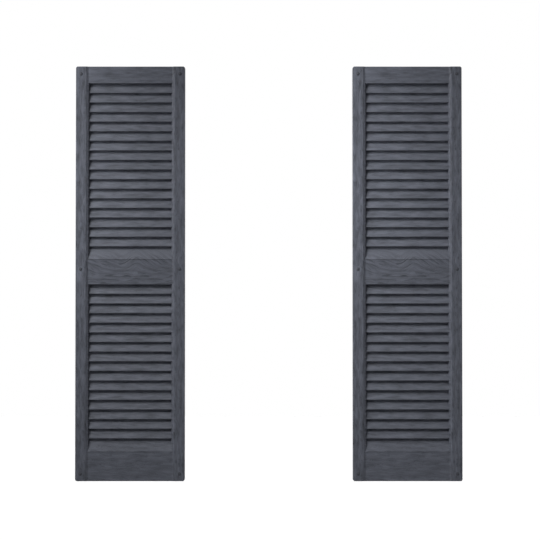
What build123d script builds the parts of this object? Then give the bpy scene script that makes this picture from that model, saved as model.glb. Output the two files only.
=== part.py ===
from build123d import *
import os

os.makedirs("parts", exist_ok=True)

# A pair of fixed louvred shutters, each moulded in one piece with an open back,
# and the push-in fasteners that hold them to a wall.
# X runs across the pair, Y away from the wall at its negative side, Z up.
# The wall plane is Y = 0, the bottom edges are at Z = 0. Sizes in millimetres.

# Overall sizes
shutter_width = 368.3
shutter_height = 1397.0
shutter_depth = 28.6
pair_gap = 565.0

# Moulding
wall = 2.4
side_draft = 1.0          # degrees
outline_radius = 7.0
edge_radius = 1.6

# Stiles
stile_face = 35.0
bevel_width = 8.0

# Steps between the levels of the front, from the stile face backwards
rail_step = 4.0
lip_setback = 3.0
louvre_rise = 12.0
ridge = 1.2
ridge_fall = 2.4

# Layout down the front
top_rail = 57.0
middle_rail = 127.6
bottom_rail = 143.2
louvre_spacing = 32.4
lip_draft = 1.5
lip_radius = 1.8
bay_lean = 4.0

# Ribs at the back
rib = 1.8
upright_ribs = 2
upright_spacing = 94.0

# Fasteners
fastener_inset = 17.5
fastener_end = 25.5
fastener_above_lip = 51.0
shank_radius = 3.1
shank_clearance = 0.45
stud_radius = 2.9
brace_spacing = 12.0
head_radius = 5.6
head_rim = 0.8
head_crown = 1.7
fastener_length = 76.0
stud_length = 7.0
spine_width = 4.8
spine_thickness = 3.2
spine_tip = 2.4
barbs = 3
barb_pitch = 10.0
barb_height = 1.4

# Levels, measured forwards from the wall plane
stile_level = shutter_depth
rail_level = stile_level - rail_step
lip_level = rail_level - lip_setback
root_level = lip_level - louvre_rise
inner_root_level = root_level - wall
beyond = 10.0             # how far a cutting shape reaches past what it cuts
near = 0.01               # for picking edges and corners by their place
front_level = stile_level + beyond

# The louvres share what the three rails leave, at the pitch nearest to the wanted spacing
louvred_height = shutter_height - top_rail - middle_rail - bottom_rail
louvres = round(louvred_height / louvre_spacing)
louvre_pitch = louvred_height / louvres
upper_louvres = (louvres + 1) // 2
lower_louvres = louvres - upper_louvres

# Heights of the lips
top_lip = shutter_height - top_rail
last_upper_lip = top_lip - upper_louvres * louvre_pitch
middle_lip = last_upper_lip - middle_rail

# Half widths of a louvre bay at the rail face and, leaning in, at the wall plane
bay_half = shutter_width / 2 - stile_face - bevel_width
bay_half_at_wall = bay_half - bay_lean * rail_level / (rail_level - root_level)


def root_below(level, lip):
    # The underside of a lip falls back to the root of the next face
    return (-root_level, lip - lip_draft * (level - root_level) / louvre_rise)


def bay_corners(rail_lip, count):
    # One bay of louvres from the lip of the rail above it down to the ridge
    # where its last face runs out on the rail below
    corners = [(-rail_level, rail_lip), root_below(rail_level, rail_lip)]
    for number in range(1, count + 1):
        lip = rail_lip - number * louvre_pitch
        corners += [(-lip_level, lip), root_below(lip_level, lip)]
    fall = (louvre_pitch - lip_draft) / louvre_rise
    ridge_level = rail_level + ridge
    ridge_height = corners[-1][1] - fall * (ridge_level - root_level)
    corners += [(-ridge_level, ridge_height), (-rail_level, ridge_height - ridge_fall)]
    return corners


def recess(growth):
    # The hollow in front of rails and louvres, between the bevels of the stiles,
    # grown on all sides for the moulding's inner face
    side = [(-rail_level, shutter_height + beyond)]
    side += bay_corners(top_lip, upper_louvres)
    side += bay_corners(middle_lip, lower_louvres)
    side += [(-rail_level, -beyond), (-front_level, -beyond), (-front_level, shutter_height + beyond)]
    plan = [
        (bay_half_at_wall, 0),
        (bay_half, -rail_level),
        (bay_half + bevel_width, -stile_level),
        (bay_half + bevel_width, -front_level),
    ]
    plan += [(-x, y) for x, y in reversed(plan)]
    with BuildPart() as hollow:
        with BuildSketch(Plane.YZ) as side_profile:
            with BuildLine():
                Polyline(*side, close=True)
            make_face()
            if growth:
                offset(amount=growth, kind=Kind.INTERSECTION)
            else:
                lips = side_profile.vertices().filter_by(
                    lambda v: abs(v.Y - top_lip) < near
                    or abs(v.Y - middle_lip) < near
                    or abs(v.X + lip_level) < near
                )
                fillet(lips, lip_radius)
        extrude(amount=shutter_width, both=True)
        with BuildSketch(Plane.XY.offset(-2 * beyond)):
            with BuildLine():
                Polyline(*plan, close=True)
            make_face()
            if growth:
                offset(amount=growth, kind=Kind.INTERSECTION)
        extrude(amount=shutter_height + 4 * beyond, mode=Mode.INTERSECT)
    return hollow.part


def moulded_form(inset):
    # The outer form with no inset, or the core that leaves a wall of that thickness
    with BuildPart() as form:
        with BuildSketch(Plane.XZ):
            with Locations((0, shutter_height / 2)):
                RectangleRounded(
                    shutter_width - 2 * inset,
                    shutter_height - 2 * inset,
                    outline_radius - inset,
                )
        extrude(amount=shutter_depth - inset, taper=side_draft)
        add(recess(inset), mode=Mode.SUBTRACT)
        if not inset:
            # The front edges round the outline, where stiles, bevels and rails end
            side_x = shutter_width / 2 - outline_radius
            end_z = shutter_height / 2 - outline_radius / 2
            rim = form.edges().filter_by(
                lambda e: e.center().Y < -lip_level
                and (abs(e.center().X) > side_x or abs(e.center().Z - shutter_height / 2) > end_z)
            )
            fillet(rim, edge_radius)
    return form.part


fastener_x = shutter_width / 2 - fastener_inset
fastener_heights = {
    "top": shutter_height - fastener_end,
    "middle": middle_lip + fastener_above_lip,
    "bottom": fastener_end,
}
hole_radius = shank_radius + shank_clearance
hole_places = [(x, z) for z in fastener_heights.values() for x in (-fastener_x, fastener_x)]

# Height and middle of each louvre bay, down into the slope on the rail below it
bays = []
for rail_lip, count in ((top_lip, upper_louvres), (middle_lip, lower_louvres)):
    bay_height = (count + 1) * louvre_pitch
    bays.append((bay_height, rail_lip - bay_height / 2))

# The core of the moulding. Behind the louvres it cuts the inner roots flat, one wall behind
# the outer ones, and leaves upright ribs standing to the same level. At each fastener hole
# it leaves two braces that reach back to the wall plane.
with BuildPart() as core:
    add(moulded_form(wall))
    with BuildSketch(Plane.XZ):
        for bay_height, bay_middle in bays:
            with Locations((0, bay_middle)):
                Rectangle(2 * bay_half, bay_height + 2 * wall)
    extrude(amount=inner_root_level)
    with BuildSketch(Plane.XZ.offset(inner_root_level)):
        for bay_height, bay_middle in bays:
            with Locations((0, bay_middle)):
                with GridLocations(upright_spacing, 0, upright_ribs, 1):
                    Rectangle(rib, bay_height)
    extrude(amount=shutter_depth, mode=Mode.SUBTRACT)
    with BuildSketch(Plane.XZ):
        with Locations(*hole_places):
            with GridLocations(0, brace_spacing, 1, 2):
                Rectangle(2 * fastener_inset, rib)
    extrude(amount=shutter_depth, mode=Mode.SUBTRACT)

# One shutter, centred on X = 0
with BuildPart() as moulding:
    add(moulded_form(0))
    add(core.part, mode=Mode.SUBTRACT)
    with BuildSketch(Plane.XZ):
        with Locations(*hole_places):
            Circle(hole_radius)
    extrude(amount=shutter_depth, mode=Mode.SUBTRACT)

# One push-in fastener along Y: a low domed head seated on the stile face, a round shank
# through the shutter, a slimmer round stud from the wall plane on, and a flat-sided spine
# with barbs on both edges
seat_y = -stile_level
rim_y = seat_y - head_rim
crown_y = rim_y - head_crown
tip_y = fastener_length - stile_level
first_barb_y = stud_length + barb_pitch / 2
spine_edge = [(0, stud_length - spine_width), (spine_width / 2, stud_length - spine_width)]
for number in range(barbs):
    barb_y = first_barb_y + number * barb_pitch
    spine_edge += [(spine_width / 2, barb_y), (spine_width / 2 + barb_height, barb_y)]
spine_edge += [(spine_width / 2, first_barb_y + barbs * barb_pitch), (spine_tip / 2, tip_y), (0, tip_y)]

with BuildPart() as pin:
    with BuildSketch(Plane.XY):
        with BuildLine():
            TangentArc((0, crown_y), (head_radius, rim_y), tangent=(1, 0))
            Polyline(
                (head_radius, rim_y),
                (head_radius, seat_y),
                (shank_radius, seat_y),
                (shank_radius, 0),
                (stud_radius, 0),
                (stud_radius, stud_length),
                (0, stud_length),
                (0, crown_y),
            )
        make_face()
    revolve(axis=Axis.Y)
    with BuildSketch(Plane.XY):
        with BuildLine():
            Polyline(*spine_edge, close=True)
        make_face()
        mirror(about=Plane.YZ)
    extrude(amount=spine_thickness / 2, both=True)

# The pair, each shutter with its own fasteners
pair_x = (pair_gap + shutter_width) / 2
for side, sign in (("left", -1), ("right", 1)):
    with BuildPart() as shutter:
        add(moulding.part.moved(Location((sign * pair_x, 0, 0))))
    shutter.part.label = f"shutter_{side}"
    export_step(shutter.part, f"parts/{shutter.part.label}.step")
    for height_name, z in fastener_heights.items():
        for edge_name, direction in (("outer", sign), ("inner", -sign)):
            x = sign * pair_x + direction * fastener_x
            with BuildPart() as fastener:
                add(pin.part.moved(Location((x, 0, z))))
            fastener.part.label = f"fastener_{side}_{height_name}_{edge_name}"
            export_step(fastener.part, f"parts/{fastener.part.label}.step")
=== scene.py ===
import math

import bpy
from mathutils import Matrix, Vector


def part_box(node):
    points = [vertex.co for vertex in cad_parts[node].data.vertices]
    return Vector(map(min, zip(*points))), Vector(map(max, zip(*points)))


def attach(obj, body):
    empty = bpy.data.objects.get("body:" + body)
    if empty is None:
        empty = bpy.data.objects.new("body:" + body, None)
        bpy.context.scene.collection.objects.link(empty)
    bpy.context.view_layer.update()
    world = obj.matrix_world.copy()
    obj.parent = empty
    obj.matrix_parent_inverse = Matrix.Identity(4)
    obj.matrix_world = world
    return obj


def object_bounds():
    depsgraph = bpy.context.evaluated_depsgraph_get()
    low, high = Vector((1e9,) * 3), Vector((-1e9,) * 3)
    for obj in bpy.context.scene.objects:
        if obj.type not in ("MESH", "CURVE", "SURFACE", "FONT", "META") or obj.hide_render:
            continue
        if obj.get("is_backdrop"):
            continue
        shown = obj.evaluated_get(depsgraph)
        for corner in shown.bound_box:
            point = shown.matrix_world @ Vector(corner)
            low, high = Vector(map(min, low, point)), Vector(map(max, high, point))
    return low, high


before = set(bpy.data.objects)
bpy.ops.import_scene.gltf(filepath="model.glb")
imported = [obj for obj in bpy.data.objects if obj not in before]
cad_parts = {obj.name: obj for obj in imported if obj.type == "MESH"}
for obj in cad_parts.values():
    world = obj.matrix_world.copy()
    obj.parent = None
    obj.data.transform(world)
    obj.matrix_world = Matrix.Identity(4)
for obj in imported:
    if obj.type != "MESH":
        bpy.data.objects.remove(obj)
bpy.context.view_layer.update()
print("frame loaded:", len(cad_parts), "nodes")

# Places that everything below is worked out from, in metres
sides = ("left", "right")
shutterBoxes = {side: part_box("shutter_" + side) for side in sides}
rightLow, rightHigh = shutterBoxes["right"]
shutterWidth = rightHigh.x - rightLow.x
shutterHeight = rightHigh.z - rightLow.z
shutterX = (rightLow.x + rightHigh.x) / 2      # middle of the right shutter, mirrored for the left one
pairMiddle = Vector((0, rightLow.y, shutterHeight / 2))


class Wire:
    # A shader socket that sums are written with
    def __init__(self, tree, socket=None):
        self.tree = tree
        self.socket = socket

    def node(self, kind, settings=None, inputs=None, output=0):
        made = self.tree.nodes.new("ShaderNode" + kind)
        for name, value in (settings or {}).items():
            setattr(made, name, value)
        for name, value in (inputs or {}).items():
            if isinstance(value, Wire):
                self.tree.links.new(value.socket, made.inputs[name])
            else:
                made.inputs[name].default_value = value
        return Wire(self.tree, made.outputs[output] if made.outputs else None)

    def maths(self, operation, *values):
        return self.node("Math", {"operation": operation}, dict(enumerate(values)))

    def __add__(self, other):
        return self.maths("ADD", self, other)

    def __sub__(self, other):
        return self.maths("SUBTRACT", self, other)

    def __rsub__(self, other):
        return self.maths("SUBTRACT", other, self)

    def __mul__(self, other):
        return self.maths("MULTIPLY", self, other)

    def __truediv__(self, other):
        return self.maths("DIVIDE", self, other)

    def __rtruediv__(self, other):
        return self.maths("DIVIDE", other, self)

    def __gt__(self, other):
        return self.maths("GREATER_THAN", self, other)

    def __lt__(self, other):
        return self.maths("LESS_THAN", self, other)

    def __abs__(self):
        return self.maths("ABSOLUTE", self)

    __radd__ = __add__
    __rmul__ = __mul__


def backgroundRay(wire):
    # 1 for every ray that should see the plain white background
    kinds = ("Is Camera Ray", "Is Glossy Ray", "Is Transmission Ray")
    camera, glossy, transmission = (wire.node("LightPath", output=kind) for kind in kinds)
    return wire.maths("MAXIMUM", wire.maths("MAXIMUM", camera, glossy), transmission)


def smoothStep(value, low, high):
    return value.node("MapRange", {"interpolation_type": "SMOOTHSTEP"}, {
        "Value": value, "From Min": low, "From Max": high})


def newMaterial(name):
    material = bpy.data.materials.new(name)
    material.use_nodes = True
    material.node_tree.nodes.clear()
    return material, Wire(material.node_tree)


# How the front is laid out, as the grain follows its members. All shader sums are in millimetres.
mm = 1000.0      # in a metre
layout = {"topRail": 57.0, "middleRail": 127.6, "bottomRail": 143.2, "stileFace": 35.0, "bevel": 8.0,
          "louvres": 33, "upperLouvres": 17}
topLip = shutterHeight * mm - layout["topRail"]
pitch = (topLip - layout["middleRail"] - layout["bottomRail"]) / layout["louvres"]
lastUpperLip = topLip - layout["upperLouvres"] * pitch
middleLip = lastUpperLip - layout["middleRail"]
lowerLouvres = layout["louvres"] - layout["upperLouvres"]
lastLowerLip = middleLip - lowerLouvres * pitch
bayHalf = shutterWidth * mm / 2 - layout["stileFace"] - layout["bevel"]

# Each layer of the grain has the length and width of its marks, their height and how much lighter
# they are painted, both below 0 for marks that are sunk and dark, and how much stronger or weaker they are
# on the top rail and louvres, on the stiles and on the slope over the middle rail than on the flat
# of the two lower rails. The colour follows the height: besides random tone, the sunk pores and veins
# carry painted shade and the raised swells and streaks carry a painted highlight
shutterLook = {
    "colour": (0.0793, 0.0855, 0.1057), "roughness": 0.5, "sheen": 0.2,
    "memberStep": 3.7,      # how far apart two members lie in the noise
    # Soft swells of the board
    "broad": {"length": 48.0, "width": 11.0, "seed": 11.0, "detail": 1.0, "height": 1.1, "toneAndPaintedShade": 0.75,
              "louvre": 0.45, "stile": 0.6, "slope": -0.45},
    # Streaks seen from afar
    "streak": {"length": 30.0, "width": 3.6, "seed": 23.0, "detail": 1.5, "height": 0.4, "toneAndPaintedShade": 0.5,
               "roughness": -0.15, "louvre": -0.4, "stile": 0.6, "slope": -0.45},
    # Fine open pores, which deepen between the two edge values of the noise
    "pore": {"length": 15.0, "width": 0.9, "seed": 41.0, "detail": 2.0, "height": -0.16, "toneAndPaintedShade": -0.15,
             "edge": (0.02, 0.14), "roughness": 0.12, "louvre": -0.3, "stile": 0.6, "slope": -0.45},
    # Veins of the yearly rings, faint everywhere, and the patches that they come and go in
    "vein": {"spacing": 12.0, "wander": 24.0, "faint": 0.2, "height": -0.5, "toneAndPaintedShade": -0.3,
             "louvre": 0.0, "stile": 0.6, "slope": -0.45},
    "patch": {"length": 48.0, "width": 11.0, "seed": 57.0, "detail": 1.0, "edge": (-0.12, 0.08)},
    # The middle rail's stronger veins: how steep they are at the left, where they bend and by how
    # much, and the heights between which they leave the level and fade out on the slope
    "figure": {"leftRise": 0.37, "bends": ((-23.0, -1.27), (20.0, 1.6)), "bendRound": 7.0,
               "bendUp": (690.0, 730.0), "fadeOut": (748.0, 766.0), "strength": 0.75, "faded": 0.65},
}


def memberCoordinates(wire, figure):
    # Along the grain and across it, and a number for each stile, rail and louvre, because each was
    # carved on its own. Both shutters come from one mould, so both are alike.
    place = wire.node("TexCoord", output="Object")
    x, z = (wire.node("SeparateXYZ", inputs={0: place}, output=axis) * mm for axis in "XZ")
    u = x + (x < 0) * (2 * shutterX * mm) - shutterX * mm      # from the middle of its own shutter
    upperNumber = wire.maths("FLOOR", (topLip - z) / pitch)
    upperNumber = wire.maths("MINIMUM", upperNumber, layout["upperLouvres"])
    lowerNumber = wire.maths("FLOOR", (middleLip - z) / pitch)
    lowerNumber = wire.maths("MINIMUM", lowerNumber, lowerLouvres)
    number = wire.maths("MAXIMUM", upperNumber, -1)
    number = number + (z < middleLip) * (lowerNumber + layout["louvres"] - number)
    stile = abs(u) > bayHalf + layout["bevel"] / 2
    number = number + stile * ((u > 0) + 2 * layout["louvres"] - number)

    rail = 1 - stile
    middleRail = rail * (z < lastUpperLip) * (z > middleLip)
    bottomRail = rail * (z < lastLowerLip)
    slope = middleRail * smoothStep(z, *figure["fadeOut"])
    members = {"louvre": rail * (1 - middleRail - bottomRail), "stile": stile, "slope": slope}
    figured = middleRail * figure["strength"] - slope * figure["faded"]

    # The veins of the middle rail's figure rise and fall, and are level towards its lower edge
    rise = u * (figure["leftRise"] + sum(change for bend, change in figure["bends"]) / 2)
    for bend, change in figure["bends"]:
        fromBend = u - bend
        rise = rise + wire.maths("SQRT", fromBend * fromBend + figure["bendRound"] ** 2) * (change / 2)
    across = z + rise * middleRail * smoothStep(z, *figure["bendUp"])
    across = across + stile * (u - across)
    along = u + stile * (z - u)
    return along, across, number, members, figured


def shutterPlastic():
    look = shutterLook
    material, wire = newMaterial("shutterPlastic")
    along, across, number, members, figured = memberCoordinates(wire, look["figure"])

    def grain(layer, shift=0.0):
        spot = wire.node("CombineXYZ", inputs={
            0: along / layer["length"],
            1: (across + shift) / layer["width"],
            2: number * look["memberStep"] + layer["seed"],
        })
        noise = wire.node("TexNoise", {"noise_dimensions": "3D"}, {
            "Vector": spot, "Scale": 1.0, "Detail": layer["detail"], "Roughness": 0.5}, output="Fac")
        return noise - 0.5      # so that it swings about 0

    marks = {"broad": grain(look["broad"])}
    wander = marks["broad"] * look["vein"]["wander"]
    marks["streak"] = grain(look["streak"], wander)
    marks["pore"] = smoothStep(grain(look["pore"], wander), *look["pore"]["edge"])
    wave = wire.maths("SINE", (across + wander) * (2 * math.pi / look["vein"]["spacing"]))
    patch = smoothStep(grain(look["patch"]), *look["patch"]["edge"])
    marks["vein"] = smoothStep(wave, 0.0, 1.0) * (figured + look["vein"]["faint"]) * patch

    # Colour scale from the grain marks: random tone, plus painted shade where a mark sinks and painted
    # highlight where it rises
    height, toneAndPaintedShade = 0, 1
    for name, mark in marks.items():
        layer = look[name]
        mark = mark * (sum(mask * layer[member] for member, mask in members.items()) + 1)
        height = height + mark * layer["height"]
        toneAndPaintedShade = toneAndPaintedShade + mark * layer["toneAndPaintedShade"]
    bump = wire.node("Bump", inputs={"Height": height, "Strength": 1.0, "Distance": 1 / mm})
    # The base colour, darkened and lightened with the relief as painted shade and painted highlight on top
    # of random tone
    colour = wire.node("VectorMath", {"operation": "SCALE"}, {0: look["colour"], "Scale": toneAndPaintedShade})
    roughness = sum(marks[name] * look[name]["roughness"] for name in ("pore", "streak"))
    shader = wire.node("BsdfPrincipled", inputs={
        "Base Color": colour,
        "Roughness": look["roughness"] + roughness,
        "Specular IOR Level": look["sheen"],
        "Normal": bump,
    })
    wire.node("OutputMaterial", inputs={"Surface": shader})
    return material


# The fasteners are coloured darker than the shutters: painted shade that makes their heads read as dark
# spots
fastenerLook = {"colour": (0.046, 0.049, 0.059, 1), "roughness": 0.7, "sheen": 0.2}


def fastenerPlastic():
    look = fastenerLook
    material, wire = newMaterial("fastenerPlastic")
    shader = wire.node("BsdfPrincipled", inputs={
        "Base Color": look["colour"],
        "Roughness": look["roughness"],
        "Specular IOR Level": look["sheen"],
    })
    wire.node("OutputMaterial", inputs={"Surface": shader})
    return material


finishes = {"shutter_plastic": shutterPlastic(), "fastener_plastic": fastenerPlastic()}
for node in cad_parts.values():
    for slot in node.material_slots:
        slot.material = finishes[slot.material.name]
print("materials:", ", ".join(sorted(finishes)))

# Floor, well below the shutters, as under a wall
floorLook = {"drop": 0.55, "size": 30.0, "colour": (0.9, 0.9, 0.9, 1), "glow": 0.62}
bpy.ops.object.select_all(action="DESELECT")
bpy.ops.mesh.primitive_plane_add(size=floorLook["size"], location=(0, 0, -floorLook["drop"]))
floor = bpy.context.object
floor.name = "floor"
floor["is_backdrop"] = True
floorMaterial, wire = newMaterial("paleFloor")
diffuse = wire.node("BsdfDiffuse", inputs={"Color": floorLook["colour"]})
glow = wire.node("Emission", inputs={"Strength": backgroundRay(wire) * floorLook["glow"]})
surface = wire.node("AddShader", inputs={0: diffuse, 1: glow})
wire.node("OutputMaterial", inputs={"Surface": surface})
floor.data.materials.append(floorMaterial)
print("floor laid", floorLook["drop"], "m below the shutters")

# White surroundings, much dimmer as a light than as a background
ambient = 0.03
world = bpy.data.worlds.new("studio")
bpy.context.scene.world = world
world.use_nodes = True
world.node_tree.nodes.clear()
wire = Wire(world.node_tree)
strength = backgroundRay(wire) * (1 - ambient) + ambient
sky = wire.node("Background", inputs={"Color": (1, 1, 1, 1), "Strength": strength})
wire.node("OutputWorld", inputs={"Surface": sky})
print("surroundings light the scene at", ambient)


def addLamp(name, kind, look, direction, place=(0, 0, 0)):
    data = bpy.data.lights.new(name, kind)
    for setting, value in look.items():
        setattr(data, setting, value)
    lamp = bpy.data.objects.new(name, data)
    bpy.context.scene.collection.objects.link(lamp)
    lamp.location = place
    lamp.rotation_euler = Vector(direction).to_track_quat("-Z", "Y").to_euler()
    lamp.visible_camera = False


# Three narrow softboxes stand close to each shutter's left edge, one above the other, so that
# the light falls off across the shutter. Their grids keep it off the other shutter. Each row
# is a height and a power.
edgeLight = {"left": 0.4, "front": 0.4, "drop": 0.55, "rows": ((1.5, 2.6), (1.0, 1.3), (0.65, 0.35)),
             "look": {"shape": "RECTANGLE", "size": 0.25, "size_y": 0.5, "spread": math.radians(120)}}
for side in sides:
    low, high = shutterBoxes[side]
    for height, power in edgeLight["rows"]:
        place = Vector((low.x - edgeLight["left"], low.y - edgeLight["front"], height))
        aim = Vector(((low.x + high.x) / 2, low.y, height - edgeLight["drop"]))
        addLamp("edgeLight", "AREA", {**edgeLight["look"], "energy": power}, aim - place, place)

# Broad light from the upper left, and a light on the back. Angles are in degrees.
broadLights = (
    {"name": "skyLight", "azimuth": 30, "elevation": 47, "energy": 1.25, "angle": 12},
    {"name": "backLight", "azimuth": 205, "elevation": 30, "energy": 0.9, "angle": 20},
)
for light in broadLights:
    azimuth, elevation = math.radians(light["azimuth"]), math.radians(light["elevation"])
    level = math.cos(elevation)
    direction = (math.sin(azimuth) * level, math.cos(azimuth) * level, -math.sin(elevation))
    look = {"energy": light["energy"], "angle": math.radians(light["angle"])}
    addLamp(light["name"], "SUN", look, direction)

# Camera, in metres but for the picture's middle and width, which are in pixels
view = {"distance": 6.5, "height": 0.55, "metresPerPixel": 3.364e-3, "middle": (268.8, 273.3), "width": 540}
scene = bpy.context.scene
cameraData = bpy.data.cameras.new("camera")
camera = bpy.data.objects.new("camera", cameraData)
scene.collection.objects.link(camera)
scene.camera = camera
target = pairMiddle + Vector((
    (view["width"] / 2 - view["middle"][0]) * view["metresPerPixel"],
    0,
    (view["middle"][1] - view["width"] / 2) * view["metresPerPixel"],
))
camera.location = (target.x, target.y - view["distance"], view["height"])
camera.rotation_euler = (target - camera.location).to_track_quat("-Z", "Y").to_euler()
reach = (target - camera.location).length
cameraData.lens = cameraData.sensor_width * reach / (view["width"] * view["metresPerPixel"])
scene.view_settings.view_transform = "Standard"
print("camera", round(reach, 2), "m away, lens", round(cameraData.lens, 1), "mm")

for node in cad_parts.values():
    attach(node, "root")

low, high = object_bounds()
